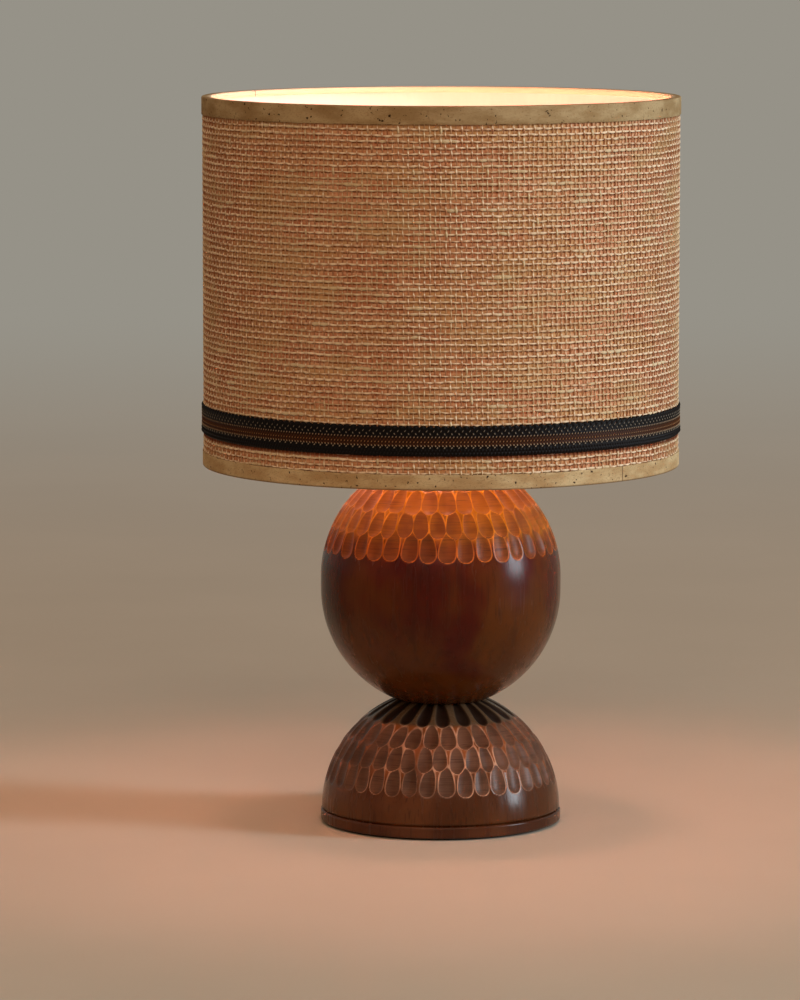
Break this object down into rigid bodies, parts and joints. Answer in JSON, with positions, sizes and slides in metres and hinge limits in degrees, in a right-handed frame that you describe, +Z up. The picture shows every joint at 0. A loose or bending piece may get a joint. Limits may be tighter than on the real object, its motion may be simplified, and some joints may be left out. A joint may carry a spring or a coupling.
{
  "type": "table lamp",
  "caption": "Table lamp with a carved wooden ball on a carved dome foot and a woven drum shade on a screw-in bulb holder.",
  "frame": {"origin": "middle of the felt's underside, on the surface that the lamp stands on", "axes": "+Z up along the lamp's axis, -Y towards the viewer, +Y towards the cord inlet, +X towards the switch key"},
  "size_m": [0.3032, 0.3032, 0.4619],
  "materials": {
    "carved_wood": "oiled and polished walnut-brown hardwood with carved facets",
    "felt": "dense dark felt",
    "zinc_steel": "zinc-plated steel",
    "black_nylon": "matt moulded nylon",
    "brass": "turned brass, lightly tarnished",
    "porcelain": "glazed porcelain",
    "frame_wire": "white stove-enamelled steel wire",
    "shade_liner": "matt cream laminate",
    "jute": "open plain weave of slubbed jute on a rust-brown ground",
    "trim_tape": "flecked natural-fibre tape",
    "braid": "black and brown woven braid",
    "opal_glass": "etched opal glass, lit",
    "bulb_metal": "plain rolled aluminium",
    "black_glass": "black vitrified glass",
    "clear_glass": "clear glass",
    "filament": "glowing tungsten"
  },
  "bodies": {
    "base": {"felt_pad": "felt", "foot_disc": "carved_wood", "foot_screws": "zinc_steel", "base_dome": "carved_wood", "cord_bushing": "black_nylon", "base_washer": "zinc_steel", "base_nut": "zinc_steel", "threaded_pipe": "zinc_steel", "ball_body": "carved_wood", "ball_cap": "brass", "holder_cap": "brass", "holder_shell": "brass", "holder_core": "porcelain", "screw_shell": "brass", "centre_contact": "brass", "terminal_screws": "zinc_steel", "shade_ring_lower": "brass"},
    "switch": {"switch_rotor": "porcelain", "switch_shaft": "zinc_steel", "switch_key": "brass"},
    "clamp_ring": {"shade_ring_upper": "brass"},
    "shade": {"shade_fitter": "frame_wire", "shade_arms": "frame_wire", "shade_bottom_ring": "frame_wire", "shade_top_ring": "frame_wire", "shade_liner": "shade_liner", "shade_fabric": "jute", "top_trim": "trim_tape", "bottom_trim": "trim_tape", "braid_band": "braid"},
    "bulb": {"bulb_glass": "opal_glass", "bulb_cap": "bulb_metal", "bulb_insulator": "black_glass", "bulb_tip": "bulb_metal", "bulb_stem": "clear_glass", "bulb_filament": "filament"}
  },
  "joints": [
    {"name": "switch_turn", "type": "hinge", "parent": "base", "child": "switch", "pos_m": [0.02, 0, 0.25823], "axis": [1, 0, 0], "continuous": true},
    {"name": "ring_unscrew", "type": "slide", "parent": "base", "child": "clamp_ring", "axis": [0, 0, 1], "range_m": [0, 0.0075]},
    {"name": "shade_swivel", "type": "hinge", "parent": "base", "child": "shade", "pos_m": [0, 0, 0.274], "axis": [0, 0, 1], "continuous": true},
    {"name": "bulb_unscrew", "type": "slide", "parent": "base", "child": "bulb", "axis": [0, 0, 1], "range_m": [0, 0.022]}
  ]
}
